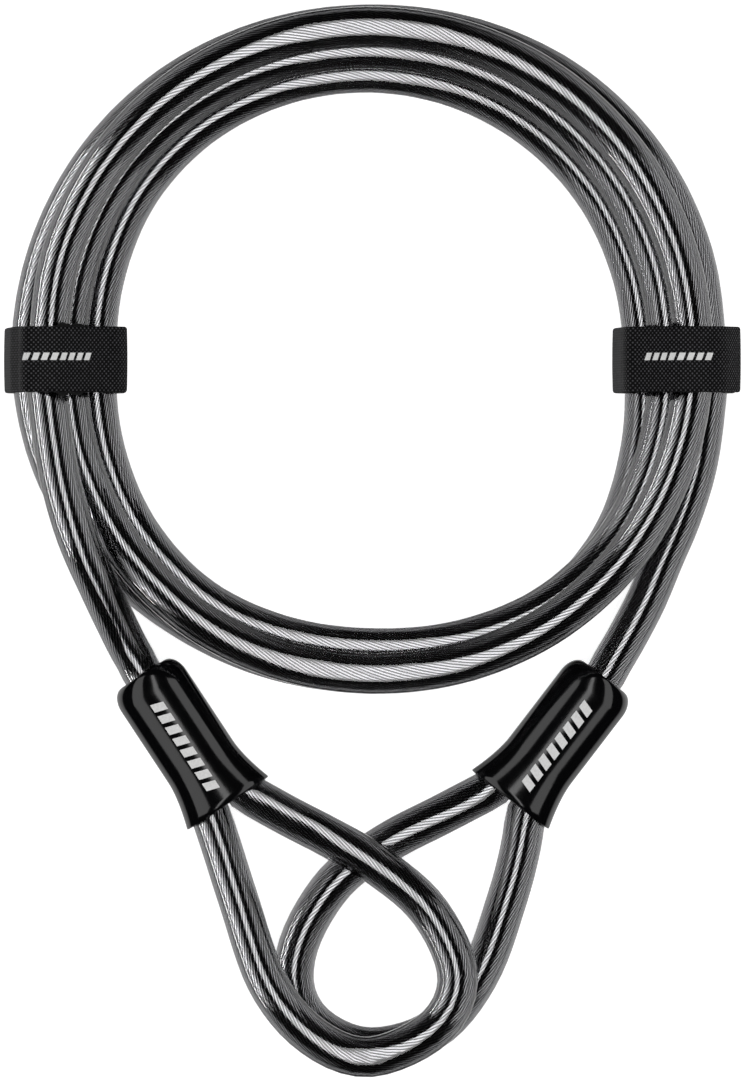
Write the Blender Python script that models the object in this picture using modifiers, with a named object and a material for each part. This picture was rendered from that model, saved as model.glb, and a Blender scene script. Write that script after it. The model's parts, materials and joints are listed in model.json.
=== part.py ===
"""Looped security cable for bicycles.

A steel wire rope in a clear sleeve. Each end is folded into an eye, crimped in a
ferrule and covered by a moulded boot. The length between the eyes is wound into a
flat coil, and two hook-and-loop straps hold the coil. The object lies on its back:
+Z is up, the eyes point to -Y, and z = 0 is the surface under it.
"""
import math

import bmesh
import bpy
from mathutils import Vector

MM = 0.001

# cable
CABLE_RADIUS = 5.0 * MM        # outside of the sleeve
SLEEVE_WALL = 0.95 * MM
ROPE_RADIUS = 3.4 * MM
CABLE_SIDES_RESOLUTION = 2

# clearances
FIT_GAP = 0.3 * MM             # between two pieces that touch
STRAND_GAP = 0.3 * MM          # between two passes of the cable

# coil
COIL_CENTRE = Vector((0.0, 43.9 * MM, 0.0))
COIL_RADIUS = 75.0 * MM        # middle of the bundle
COIL_STEP = 18.0               # degrees between two points of a pass

# straps
STRAP_WIDTH = 16.0 * MM
BAND_THICKNESS = 1.3 * MM
PATCH_THICKNESS = 0.6 * MM     # hook tape, and loop tape
STRAP_SLIDE = 3.0              # degrees that a strap can slide either way
SHOULDER_RADIUS = 5.0 * MM
SHOULDER_INSET = 1.8 * MM
SHOULDER_DROP = 4.0 * MM
HULL_STEP = 15.0               # degrees between two points round a strap
SHORTEST_STEP = 5.0            # degrees between two points at a path's ends
BOTTOM = -90.0                 # the angle of a strap's flat underside
FLAT_TILT = 0.5                # degrees off square that its two corners stand at

# boots, measured from the end where the coil's cable goes in
BOOT_LENGTH = 38.0 * MM
BOOT_HALF_WIDTH = 9.5 * MM
BOOT_MOUTH_HALF_WIDTH = 12.0 * MM
BOOT_THICKNESS = 14.0 * MM
BOOT_CORNER = 4.6 * MM
BOOT_SHOULDER = 5.0 * MM       # length of the rounding at the coil end
BOOT_SHOULDER_STEPS = 4
BOOT_FLARE = 12.0 * MM         # length of the flare at the mouth
BOOT_FLARE_STEPS = 6
BOOT_FLARE_CURVE = 1.6         # power that the flare opens with
BOOT_GRIP = 5.0 * MM           # depth of the cable in the coil end
BOOT_MOUTH_GRIP = 3.0 * MM     # depth of the eye's sleeve in the mouth
BOOT_END_WALL = 1.0 * MM
LEFT_BOOT_LIFT = 5.0 * MM      # the left boot hangs above the surface

# ferrules
FERRULE_START = 13.0 * MM      # from the coil end of the boot
FERRULE_LENGTH = 15.0 * MM
FERRULE_WALL = 0.9 * MM

# meshes
CORNER_POINTS = 6              # round each corner of a ring
OVAL_STRAIGHT = 0.02 * MM      # keeps the points of an oval's half circles apart
SHARP_ANGLE = math.radians(40)
SPOTS_PER_SPAN = 8             # places on each span of the cable that a strap looks at
AXIS_SIZE = 5.0 * MM           # how large an axis is drawn

PITCH = 2 * CABLE_RADIUS + STRAND_GAP
LOWEST_PASS = BAND_THICKNESS + FIT_GAP + CABLE_RADIUS
LEG_OFFSET = CABLE_RADIUS + STRAND_GAP / 2
ROPE_OFFSET = ROPE_RADIUS + FIT_GAP

# The coil: total angle, distance from the coil's radius and height above the
# lowest pass, both in cable pitches. It starts at the right strap and runs
# anticlockwise for three and a half turns to the left strap.
COIL_PASSES = [
    (0, 0.70, 0.0), (45, 0.86, 0.0), (90, 0.71, 0.0), (135, 0.82, 0.0),
    (180, 0.79, 0.0), (205, 0.65, 0.0), (222, 0.46, -0.13), (240, 0.25, -0.13),
    (270, 0.13, -0.13), (315, -0.06, -0.13), (328, -0.26, -0.12), (342, -0.54, 0.0),
    (360, -0.79, 0.0), (405, -0.60, 0.0), (450, -0.43, 0.0), (495, -0.42, 0.0),
    (540, -0.74, 0.006), (570, -0.49, 0.075), (592, -0.36, 0.61), (630, -0.45, 0.73),
    (675, -0.08, 0.88), (720, -0.24, 0.88), (765, -0.04, 0.86), (810, 0.11, 0.87),
    (855, 0.14, 0.86), (900, -0.08, 0.80), (925, 0.02, 0.94), (952, 0.12, 1.52),
    (990, 0.14, 1.58), (1035, 0.31, 1.79), (1080, 0.33, 1.74), (1125, 0.50, 1.77),
    (1170, 0.58, 1.78), (1215, 0.55, 1.77), (1260, 0.35, 1.74),
]

# The tails between the coil and the boots: x and y in mm, and height as a share
# of the way from the boot up to the coil's pass.
RIGHT_TAIL = [
    (59.3, -29.5, 0.0), (62.2, -24.6, 0.0), (67.3, -14.9, 0.2),
    (71.6, -4.6, 0.5), (75.8, 5.2, 1.0), (79.6, 17.3, 1.0), (81.6, 30.3, 1.0),
]
LEFT_TAIL = [
    (-78.6, 34.1, 1.06), (-75.9, 16.4, 1.15), (-71.8, 1.5, 1.06),
    (-66.2, -11.6, 0.66), (-60.1, -24.6, 0.16), (-57.4, -29.5, 0.03),
]

# The eyes: x and y in mm, and height as a share of the way from the boot's
# middle to the level of the eye.
RIGHT_EYE = [
    (16.8, -67.5, 0.8), (4.1, -74.1, 1.0), (-8.6, -83.6, 1.0), (-17.3, -97.8, 1.0),
    (-18.6, -110.5, 1.0), (-12.4, -119.8, 1.0), (0.0, -124.3, 1.0),
    (15.6, -119.8, 1.0), (26.6, -106.3, 1.0), (33.3, -88.0, 0.9), (36.5, -75.9, 0.5),
]
LEFT_EYE = [
    (-20.1, -67.5, 0.5), (-9.6, -72.9, 1.0), (1.0, -79.1, 1.0), (14.0, -90.2, 1.0),
    (21.2, -106.3, 1.0), (15.8, -119.0, 1.0), (0.0, -126.2, 1.0),
    (-13.8, -121.5, 1.0), (-25.1, -108.5, 1.0), (-32.3, -88.0, 0.8),
    (-36.2, -75.9, 0.3),
]
EYE_POINTS_PER_SPAN = 2
EYE_HEIGHT = 0.1 * MM          # of the lower eye's sleeve above the surface

# angles of the outward normal round a strap, in degrees: 0 is +X, 90 is up
HINGE_ANGLE = 169.0
HINGE_HALF_GAP = 2.0
FLAP_RISE_START = 155.0        # the flap climbs from the band's level here
FLAP_RISE_END = 116.0          # and lies on its patches from here
BAND_START = 104.0
PATCH_START = 96.0
PATCH_END = 30.0
FLAP_END = 26.0


def catmull_rom(points, per_span):
    """Points on a smooth curve through the given points."""
    ends = [2 * points[0] - points[1]] + list(points) + [2 * points[-1] - points[-2]]
    curve = []
    for i in range(1, len(ends) - 2):
        p0, p1, p2, p3 = ends[i - 1:i + 3]
        for k in range(per_span):
            t = k / per_span
            curve.append(0.5 * (2 * p1 + (p2 - p0) * t
                                + (2 * p0 - 5 * p1 + 4 * p2 - p3) * t ** 2
                                + (3 * p1 - p0 - 3 * p2 + p3) * t ** 3))
    curve.append(points[-1].copy())
    return curve


def coil_value(angle, column):
    """A column of the coil's table at any angle, on a smooth curve."""
    last = len(COIL_PASSES) - 1

    def slope(k):
        before, after = max(k - 1, 0), min(k + 1, last)
        rise = COIL_PASSES[after][column] - COIL_PASSES[before][column]
        return rise / (COIL_PASSES[after][0] - COIL_PASSES[before][0])

    i = max(k for k in range(last) if COIL_PASSES[k][0] <= angle)
    start, end = COIL_PASSES[i], COIL_PASSES[i + 1]
    span = end[0] - start[0]
    t = (angle - start[0]) / span
    return ((2 * t ** 3 - 3 * t ** 2 + 1) * start[column]
            + (t ** 3 - 2 * t ** 2 + t) * span * slope(i)
            + (3 * t ** 2 - 2 * t ** 3) * end[column]
            + (t ** 3 - t ** 2) * span * slope(i + 1))


def coil_points():
    """The coil's turns, one point for each step."""
    points = []
    for k in range(int(COIL_PASSES[-1][0] / COIL_STEP) + 1):
        angle = k * COIL_STEP
        radius = COIL_RADIUS + PITCH * coil_value(angle, 1)
        height = LOWEST_PASS + PITCH * coil_value(angle, 2)
        turn = math.radians(angle)
        points.append(COIL_CENTRE + Vector((radius * math.cos(turn),
                                            radius * math.sin(turn), height)))
    return points


def lifted(table, low, high):
    """A table's points in metres, with heights between low and high."""
    return [Vector((x * MM, y * MM, low + share * (high - low))) for x, y, share in table]


class Boot:
    """A boot's place: its middle line runs from the coil end to the mouth."""

    def __init__(self, side, coil_end, mouth, lift):
        self.side = side
        self.height = BOOT_THICKNESS / 2 + lift
        self.start = Vector((coil_end[0] * MM, coil_end[1] * MM, self.height))
        mouth_centre = Vector((mouth[0] * MM, mouth[1] * MM, self.height))
        self.along = (mouth_centre - self.start).normalized()
        self.across = Vector((0, 0, 1)).cross(self.along)

    def point(self, along, across=0.0, up=0.0):
        return self.start + self.along * along + self.across * across + Vector((0, 0, up))


RIGHT_BOOT = Boot("right", (57.1, -33.5), (34.0, -63.6), 0.0)
LEFT_BOOT = Boot("left", (-55.8, -32.7), (-35.0, -64.2), LEFT_BOOT_LIFT)


def cable_route():
    """The coil's cable from the right boot to the left boot."""
    coil = coil_points()
    right = lifted(RIGHT_TAIL, RIGHT_BOOT.height, coil[0].z)
    left = lifted(LEFT_TAIL, LEFT_BOOT.height, coil[-1].z)
    return ([RIGHT_BOOT.point(BOOT_GRIP), RIGHT_BOOT.point(0.0)] + right + coil + left
            + [LEFT_BOOT.point(0.0), LEFT_BOOT.point(BOOT_GRIP)])


def eye_route(boot, table, level, first_side):
    """The eye's sleeve, from one side of the boot's mouth to the other."""
    inside = BOOT_LENGTH - BOOT_MOUTH_GRIP
    outside = BOOT_LENGTH + FIT_GAP
    near = first_side * LEG_OFFSET
    loop = catmull_rom([boot.point(outside, near)] + lifted(table, boot.height, level)
                       + [boot.point(outside, -near)], EYE_POINTS_PER_SPAN)
    return [boot.point(inside, near)] + loop + [boot.point(inside, -near)]


def rope_route(right_eye, left_eye, cable):
    """The rope from the end in the right ferrule to the end in the left one."""
    ferrule_end = FERRULE_START + FERRULE_LENGTH
    tail_end = FERRULE_START + FIT_GAP
    bend = BOOT_GRIP + 2 * FIT_GAP
    into_sleeve = BOOT_LENGTH - BOOT_MOUTH_GRIP - FIT_GAP

    def in_boot(boot, side, end):
        lane = [boot.point(ferrule_end, side * ROPE_OFFSET),
                boot.point(into_sleeve, side * LEG_OFFSET)]
        if end:
            return [boot.point(tail_end, side * ROPE_OFFSET)] + lane
        return [boot.point(bend), boot.point(FERRULE_START, side * ROPE_OFFSET)] + lane

    return (in_boot(RIGHT_BOOT, -1, True) + right_eye[1:-1]
            + in_boot(RIGHT_BOOT, 1, False)[::-1] + cable[1:-1]
            + in_boot(LEFT_BOOT, -1, False) + left_eye[::-1][1:-1]
            + in_boot(LEFT_BOOT, 1, True)[::-1])


def material(name, colour, roughness, metallic=0.0):
    result = bpy.data.materials.new(name)
    result.use_nodes = True
    shader = result.node_tree.nodes["Principled BSDF"]
    shader.inputs["Base Color"].default_value = (*colour, 1.0)
    shader.inputs["Roughness"].default_value = roughness
    shader.inputs["Metallic"].default_value = metallic
    return result


def add_curve(name, points, radius, finish, collection, capped):
    """A round tube along points; without caps it is an open surface."""
    curve = bpy.data.curves.new(name, "CURVE")
    curve.dimensions = "3D"
    curve.bevel_depth = radius
    curve.bevel_resolution = CABLE_SIDES_RESOLUTION
    curve.use_fill_caps = capped
    spline = curve.splines.new("POLY")
    spline.points.add(len(points) - 1)
    for point, place in zip(spline.points, points):
        point.co = (*place, 1.0)
    curve.materials.append(finish)
    tube = bpy.data.objects.new(name, curve)
    collection.objects.link(tube)
    return tube


def add_sleeve(name, points, finish, collection):
    """A hollow sleeve along points."""
    sleeve = add_curve(name, points, CABLE_RADIUS, finish, collection, False)
    wall = sleeve.modifiers.new("wall", "SOLIDIFY")
    wall.thickness = SLEEVE_WALL
    wall.offset = -1.0
    return sleeve


def add_mesh(name, vertices, faces, finish, collection, parent=None):
    """A mesh from world places, with its origin on its parent's."""
    pivot = parent.matrix_world.translation if parent else Vector((0, 0, 0))
    mesh = bpy.data.meshes.new(name)
    mesh.from_pydata([v - pivot for v in vertices], [], faces)
    mesh.materials.append(finish)
    mesh.shade_smooth()
    mesh.set_sharp_from_angle(angle=SHARP_ANGLE)
    piece = bpy.data.objects.new(name, mesh)
    collection.objects.link(piece)
    piece.parent = parent
    return piece


def rounded_ring(boot, along, half_width, half_height, corner):
    """A rounded rectangle round the boot's middle line."""
    ring = []
    for quarter, (sx, sy) in enumerate(((1, 1), (-1, 1), (-1, -1), (1, -1))):
        for k in range(CORNER_POINTS):
            turn = math.radians(90 * (quarter + k / (CORNER_POINTS - 1)))
            ring.append(boot.point(
                along,
                sx * (half_width - corner) + corner * math.cos(turn),
                sy * (half_height - corner) + corner * math.sin(turn)))
    return ring


def oval_ring(boot, along, half_span, radius):
    """An oval hole or sleeve: two half circles half_span from the middle."""
    half_width = half_span + radius + OVAL_STRAIGHT
    return rounded_ring(boot, along, half_width, radius + OVAL_STRAIGHT, radius)


def add_loft(name, outer, inner, finish, collection):
    """A body with a hole right through, from outer and inner rings."""
    rings = outer + inner[::-1]
    count = len(rings[0])
    faces = []
    for i in range(len(rings)):
        here, after = i * count, (i + 1) % len(rings) * count
        for k in range(count):
            k2 = (k + 1) % count
            faces.append((here + k, here + k2, after + k2, after + k))
    body = add_mesh(name, [v for ring in rings for v in ring], faces, finish, collection)
    closed = bmesh.new()
    closed.from_mesh(body.data)
    bmesh.ops.recalc_face_normals(closed, faces=closed.faces)
    closed.to_mesh(body.data)
    closed.free()
    return body


def boot_half_width(along):
    """Straight body, and a flare that opens towards the mouth."""
    into_flare = max(0.0, along - (BOOT_LENGTH - BOOT_FLARE)) / BOOT_FLARE
    return BOOT_HALF_WIDTH + (BOOT_MOUTH_HALF_WIDTH - BOOT_HALF_WIDTH) * into_flare ** BOOT_FLARE_CURVE


def add_boot(boot, finish, collection):
    hole = CABLE_RADIUS + FIT_GAP
    half_height = BOOT_THICKNESS / 2
    end_half = hole + BOOT_END_WALL
    outer = []
    for k in range(BOOT_SHOULDER_STEPS + 1):
        turn = math.radians(90 * k / BOOT_SHOULDER_STEPS)
        along = BOOT_SHOULDER * (1 - math.cos(turn))
        width = end_half + (BOOT_HALF_WIDTH - end_half) * math.sin(turn)
        height = end_half + (half_height - end_half) * math.sin(turn)
        outer.append(rounded_ring(boot, along, width, height, BOOT_CORNER))
    for k in range(BOOT_FLARE_STEPS + 1):
        along = BOOT_LENGTH - BOOT_FLARE * (1 - k / BOOT_FLARE_STEPS)
        outer.append(rounded_ring(boot, along, boot_half_width(along), half_height,
                                  BOOT_CORNER))
    grip = BOOT_GRIP + FIT_GAP
    pocket_start = FERRULE_START - FIT_GAP
    pocket_end = FERRULE_START + FERRULE_LENGTH + FIT_GAP
    mouth_pocket = BOOT_LENGTH - BOOT_MOUTH_GRIP - FIT_GAP
    rope_hole = ROPE_RADIUS + 2 * FIT_GAP
    pocket = ROPE_RADIUS + FIT_GAP + FERRULE_WALL + FIT_GAP
    inner = [
        oval_ring(boot, 0.0, 0.0, hole),
        oval_ring(boot, grip, 0.0, hole),
        oval_ring(boot, grip, 0.0, rope_hole),
        oval_ring(boot, pocket_start, ROPE_OFFSET, rope_hole),
        oval_ring(boot, pocket_start, ROPE_OFFSET, pocket),
        oval_ring(boot, pocket_end, ROPE_OFFSET, pocket),
        oval_ring(boot, pocket_end, ROPE_OFFSET, rope_hole),
        oval_ring(boot, mouth_pocket, LEG_OFFSET, rope_hole),
        oval_ring(boot, mouth_pocket, LEG_OFFSET, hole),
        oval_ring(boot, BOOT_LENGTH, LEG_OFFSET, hole),
    ]
    return add_loft(boot.side + "_boot", outer, inner, finish, collection)


def add_ferrule(boot, finish, collection):
    """The crimped oval sleeve that holds the rope's two runs together."""
    bore = ROPE_RADIUS + FIT_GAP
    ends = (FERRULE_START, FERRULE_START + FERRULE_LENGTH)
    outer = [oval_ring(boot, along, ROPE_OFFSET, bore + FERRULE_WALL) for along in ends]
    inner = [oval_ring(boot, along, ROPE_OFFSET, bore) for along in ends]
    return add_loft(boot.side + "_ferrule", outer, inner, finish, collection)


class Strap:
    """A strap's loop round the bundle, in the plane of X and Z."""

    def __init__(self, side, direction, cable):
        self.side = side
        inner_radius = COIL_RADIUS - PITCH
        reach = math.degrees(math.asin(STRAP_WIDTH / 2 / inner_radius))
        window = math.radians(reach + STRAP_SLIDE)
        spots = []
        for a, b in zip(cable, cable[1:]):
            for k in range(SPOTS_PER_SPAN):
                spot = a.lerp(b, k / SPOTS_PER_SPAN) - COIL_CENTRE
                radius = math.hypot(spot.x, spot.y)
                off_axis = math.acos(max(-1.0, min(1.0, direction * spot.x / radius)))
                if off_axis <= window:
                    spots.append((direction * radius, spot.z))
                    spots.append((direction * radius * math.cos(math.radians(reach)), spot.z))
        self.circles = [(x, z, CABLE_RADIUS) for x, z in spots]
        top = max(z for x, z in spots)
        low_x = min(x for x, z in spots) - CABLE_RADIUS
        high_x = max(x for x, z in spots) + CABLE_RADIUS
        inset = SHOULDER_INSET + SHOULDER_RADIUS
        for x in (low_x + inset, high_x - inset):
            self.circles.append((x, top - SHOULDER_DROP, SHOULDER_RADIUS))
        hinge = self.at(HINGE_ANGLE, FIT_GAP + BAND_THICKNESS)
        self.hinge = Vector((hinge[0], COIL_CENTRE.y, hinge[1]))

    def at(self, angle, offset):
        """The point on the loop's hull whose outward normal has this angle."""
        nx, nz = math.cos(math.radians(angle)), math.sin(math.radians(angle))
        x, z, radius = max(self.circles, key=lambda c: c[0] * nx + c[1] * nz + c[2])
        reach = radius + offset
        if min(angle % 90, -angle % 90) > FLAT_TILT:
            reach = radius / math.cos(math.radians(HULL_STEP / 2)) + offset
        return (x + nx * reach, z + nz * reach)

    def path(self, start, end, offset):
        """Points from one angle down to another, offset by a function."""
        angles = [start]
        step = math.floor(start / HULL_STEP) * HULL_STEP
        while step > end + SHORTEST_STEP:
            if step == BOTTOM:
                angles += [BOTTOM + FLAT_TILT, BOTTOM - FLAT_TILT]
            elif step < start - SHORTEST_STEP:
                angles.append(step)
            step -= HULL_STEP
        angles.append(end)
        return [self.at(angle, offset(angle)) for angle in angles]


def add_strip(name, path, thickness, width, finish, collection, parent):
    """A strip of fabric along a path, as an open surface with a thickness."""
    vertices = []
    for x, z in path:
        for y in (-width / 2, width / 2):
            vertices.append(Vector((x, COIL_CENTRE.y + y, z)))
    faces = [(2 * i, 2 * i + 2, 2 * i + 3, 2 * i + 1) for i in range(len(path) - 1)]
    strip = add_mesh(name, vertices, faces, finish, collection, parent)
    fabric = strip.modifiers.new("fabric", "SOLIDIFY")
    fabric.thickness = thickness
    fabric.offset = 1.0
    fabric.use_even_offset = True
    return strip


def add_axis(name, place, collection, parent=None):
    """An empty on a joint's axis."""
    axis = bpy.data.objects.new(name, None)
    axis.empty_display_size = AXIS_SIZE
    collection.objects.link(axis)
    axis.parent = parent
    axis.location = place - parent.matrix_world.translation if parent else place
    bpy.context.view_layer.update()
    return axis


def add_strap(strap, fabric, hooks, loops, collection):
    slide = add_axis(strap.side + "_slide_axis", COIL_CENTRE, collection)
    peel = add_axis(strap.side + "_peel_axis", strap.hinge, collection, slide)
    loop_level = FIT_GAP + BAND_THICKNESS + FIT_GAP
    hook_level = loop_level + PATCH_THICKNESS + FIT_GAP
    flap_level = hook_level + PATCH_THICKNESS + FIT_GAP

    def flap_offset(angle):
        share = (FLAP_RISE_START - angle) / (FLAP_RISE_START - FLAP_RISE_END)
        return FIT_GAP + (flap_level - FIT_GAP) * max(0.0, min(1.0, share))

    band_end = HINGE_ANGLE + HINGE_HALF_GAP - 360
    pieces = [
        ("band", BAND_START, band_end, lambda a: FIT_GAP, BAND_THICKNESS, fabric, slide),
        ("loop_patch", PATCH_START, PATCH_END, lambda a: loop_level, PATCH_THICKNESS,
         loops, slide),
        ("hook_patch", PATCH_START, PATCH_END, lambda a: hook_level, PATCH_THICKNESS,
         hooks, peel),
        ("flap", HINGE_ANGLE - HINGE_HALF_GAP, FLAP_END, flap_offset, BAND_THICKNESS,
         fabric, peel),
    ]
    for part, start, end, offset, thickness, finish, parent in pieces:
        add_strip(strap.side + "_strap_" + part, strap.path(start, end, offset), thickness,
                  STRAP_WIDTH, finish, collection, parent)


def main():
    for item in list(bpy.data.objects):
        bpy.data.objects.remove(item, do_unlink=True)
    collection = bpy.data.collections.new("looped_cable")
    bpy.context.scene.collection.children.link(collection)

    steel = material("bright steel wire", (0.55, 0.55, 0.56), 0.3, 1.0)
    sleeve = material("smoke-clear PVC", (0.10, 0.10, 0.11), 0.12)
    aluminium = material("aluminium", (0.75, 0.75, 0.76), 0.35, 1.0)
    rubber = material("gloss black PVC", (0.01, 0.01, 0.012), 0.18)
    webbing = material("black nylon webbing", (0.012, 0.012, 0.013), 0.85)
    hooks = material("black nylon hook tape", (0.02, 0.02, 0.02), 0.6)
    loops = material("black nylon loop tape", (0.015, 0.015, 0.015), 0.95)

    cable = cable_route()
    right_level = CABLE_RADIUS + EYE_HEIGHT
    left_level = right_level + PITCH
    right_eye = eye_route(RIGHT_BOOT, RIGHT_EYE, right_level, -1)
    left_eye = eye_route(LEFT_BOOT, LEFT_EYE, left_level, 1)

    add_curve("wire_rope", rope_route(right_eye, left_eye, cable), ROPE_RADIUS, steel,
              collection, True)
    add_sleeve("coil_sleeve", cable, sleeve, collection)
    add_sleeve("right_eye_sleeve", right_eye, sleeve, collection)
    add_sleeve("left_eye_sleeve", left_eye, sleeve, collection)
    for boot in (RIGHT_BOOT, LEFT_BOOT):
        add_boot(boot, rubber, collection)
        add_ferrule(boot, aluminium, collection)
    for side, direction in (("right", 1), ("left", -1)):
        add_strap(Strap(side, direction, cable), webbing, hooks, loops, collection)


main()
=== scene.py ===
"""Looped security cable for bicycles, lying on its back in a strapped coil.

A laid steel rope inside a clear sleeve, a black moulded boot at the foot of each
eye, and two hook-and-loop straps round the coil. All lengths are in metres in the
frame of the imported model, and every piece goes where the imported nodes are.
"""
import json
import math

import bmesh
import bpy
from bpy.props import FloatProperty, FloatVectorProperty, IntProperty, PointerProperty
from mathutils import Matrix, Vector

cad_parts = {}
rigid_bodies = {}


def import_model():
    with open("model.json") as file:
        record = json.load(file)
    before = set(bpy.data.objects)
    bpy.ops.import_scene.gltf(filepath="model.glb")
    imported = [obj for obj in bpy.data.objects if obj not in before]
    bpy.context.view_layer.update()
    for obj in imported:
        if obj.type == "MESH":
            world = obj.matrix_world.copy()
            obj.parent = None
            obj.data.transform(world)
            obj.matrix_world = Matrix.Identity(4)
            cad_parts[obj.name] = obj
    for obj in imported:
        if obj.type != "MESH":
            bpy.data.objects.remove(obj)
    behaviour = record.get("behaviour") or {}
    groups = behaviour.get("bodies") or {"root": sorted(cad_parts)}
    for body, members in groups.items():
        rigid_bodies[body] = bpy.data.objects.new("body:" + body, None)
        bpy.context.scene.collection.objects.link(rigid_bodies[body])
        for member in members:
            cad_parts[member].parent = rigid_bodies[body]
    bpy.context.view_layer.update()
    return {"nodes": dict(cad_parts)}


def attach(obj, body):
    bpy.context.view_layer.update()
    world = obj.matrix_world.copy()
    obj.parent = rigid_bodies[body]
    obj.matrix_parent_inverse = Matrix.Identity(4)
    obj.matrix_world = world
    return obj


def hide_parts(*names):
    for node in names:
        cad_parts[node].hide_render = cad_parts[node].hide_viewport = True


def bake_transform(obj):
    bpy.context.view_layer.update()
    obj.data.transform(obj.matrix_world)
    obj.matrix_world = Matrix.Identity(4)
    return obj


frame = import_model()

bl_info = {
    "name": "Looped Security Cable",
    "version": (1, 0, 0),
    "blender": (4, 5, 0),
    "location": "3D View > Sidebar > Cable",
    "description": "Builds a sleeved security cable coiled in two straps",
    "category": "Object",
}

MM = 0.001

# The sizes that place the cable, the boots and the straps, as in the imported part.
CABLE_RADIUS = 5.0 * MM
ROPE_RADIUS = 3.4 * MM
FIT_GAP = 0.3 * MM
STRAND_GAP = 0.3 * MM
BAND_THICKNESS = 1.3 * MM
PATCH_THICKNESS = 0.6 * MM
COIL_CENTRE = Vector((0.0, 43.9 * MM, 0.0))
COIL_RADIUS = 75.0 * MM
COIL_STEP = 18.0
STRAP_WIDTH = 16.0 * MM
STRAP_SLIDE = 3.0
SHOULDER_RADIUS = 5.0 * MM
SHOULDER_INSET = 1.8 * MM
SHOULDER_DROP = 4.0 * MM
SPOTS_PER_SPAN = 8
BOOT_LENGTH = 38.0 * MM
BOOT_HALF_WIDTH = 9.5 * MM
BOOT_MOUTH_HALF_WIDTH = 12.0 * MM
BOOT_THICKNESS = 14.0 * MM
BOOT_SHOULDER = 5.0 * MM
BOOT_FLARE = 12.0 * MM
BOOT_FLARE_CURVE = 1.6
BOOT_GRIP = 5.0 * MM
BOOT_MOUTH_GRIP = 3.0 * MM
LEFT_BOOT_LIFT = 5.0 * MM
FERRULE_START = 13.0 * MM
FERRULE_LENGTH = 15.0 * MM
EYE_HEIGHT = 0.1 * MM

PITCH = 2 * CABLE_RADIUS + STRAND_GAP
LOWEST_PASS = BAND_THICKNESS + FIT_GAP + CABLE_RADIUS
LEG_OFFSET = CABLE_RADIUS + STRAND_GAP / 2
ROPE_OFFSET = ROPE_RADIUS + FIT_GAP

# The coil: total angle in degrees, distance from the coil's radius and height above
# the lowest pass, both in cable pitches.
COIL_PASSES = [
    (0, 0.70, 0.0), (45, 0.86, 0.0), (90, 0.71, 0.0), (135, 0.82, 0.0),
    (180, 0.79, 0.0), (205, 0.65, 0.0), (222, 0.46, -0.13), (240, 0.25, -0.13),
    (270, 0.13, -0.13), (315, -0.06, -0.13), (328, -0.26, -0.12), (342, -0.54, 0.0),
    (360, -0.79, 0.0), (405, -0.60, 0.0), (450, -0.43, 0.0), (495, -0.42, 0.0),
    (540, -0.74, 0.006), (570, -0.49, 0.075), (592, -0.36, 0.61), (630, -0.45, 0.73),
    (675, -0.08, 0.88), (720, -0.24, 0.88), (765, -0.04, 0.86), (810, 0.11, 0.87),
    (855, 0.14, 0.86), (900, -0.08, 0.80), (925, 0.02, 0.94), (952, 0.12, 1.52),
    (990, 0.14, 1.58), (1035, 0.31, 1.79), (1080, 0.33, 1.74), (1125, 0.50, 1.77),
    (1170, 0.58, 1.78), (1215, 0.55, 1.77), (1260, 0.35, 1.74),
]

# The tails between the coil and the boots: x and y in mm, and height as a share of
# the way from the boot up to the coil's pass.
RIGHT_TAIL = [
    (59.3, -29.5, 0.0), (62.2, -24.6, 0.0), (67.3, -14.9, 0.2),
    (71.6, -4.6, 0.5), (75.8, 5.2, 1.0), (79.6, 17.3, 1.0), (81.6, 30.3, 1.0),
]
LEFT_TAIL = [
    (-78.6, 34.1, 1.06), (-75.9, 16.4, 1.15), (-71.8, 1.5, 1.06),
    (-66.2, -11.6, 0.66), (-60.1, -24.6, 0.16), (-57.4, -29.5, 0.03),
]

# The eyes: x and y in mm, and height as a share of the way from the boot's middle to
# the level of the eye.
RIGHT_EYE = [
    (16.8, -67.5, 0.8), (4.1, -74.1, 1.0), (-8.6, -83.6, 1.0), (-17.3, -97.8, 1.0),
    (-18.6, -110.5, 1.0), (-12.4, -119.8, 1.0), (0.0, -124.3, 1.0),
    (15.6, -119.8, 1.0), (26.6, -106.3, 1.0), (33.3, -88.0, 0.9), (36.5, -75.9, 0.5),
]
LEFT_EYE = [
    (-20.1, -67.5, 0.5), (-9.6, -72.9, 1.0), (1.0, -79.1, 1.0), (14.0, -90.2, 1.0),
    (21.2, -106.3, 1.0), (15.8, -119.0, 1.0), (0.0, -126.2, 1.0),
    (-13.8, -121.5, 1.0), (-25.1, -108.5, 1.0), (-32.3, -88.0, 0.8),
    (-36.2, -75.9, 0.3),
]
POINTS_PER_SPAN = 5            # on the smooth line through a route's points

# Angles of the outward normal round a strap: 0 is +X and 90 is up.
BAND_START = 104.0
FOLD_START = 180.0             # the webbing is cut into two meshes here
FLAP_RISE_START = 155.0
FLAP_RISE_END = 116.0
PATCH_START = 96.0
PATCH_END = 30.0
FLAP_END = 26.0
HULL_STEP = 5.0
WEB_STEP = 0.9 * MM            # between two rows of a strap's mesh


def srgb(code):
    """An sRGB hex colour as linear red, green and blue."""
    channels = [int(code[i:i + 2], 16) / 255 for i in (1, 3, 5)]
    return tuple(c / 12.92 if c <= 0.04045 else ((c + 0.055) / 1.055) ** 2.4
                 for c in channels)


def hue(name, code, description):
    return FloatVectorProperty(name=name, description=description, default=srgb(code),
                               subtype="COLOR", min=0.0, max=1.0)


def size(name, millimetres, description):
    return FloatProperty(name=name, description=description, default=millimetres * MM,
                         min=0.0, subtype="DISTANCE", unit="LENGTH", precision=5)


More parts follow.
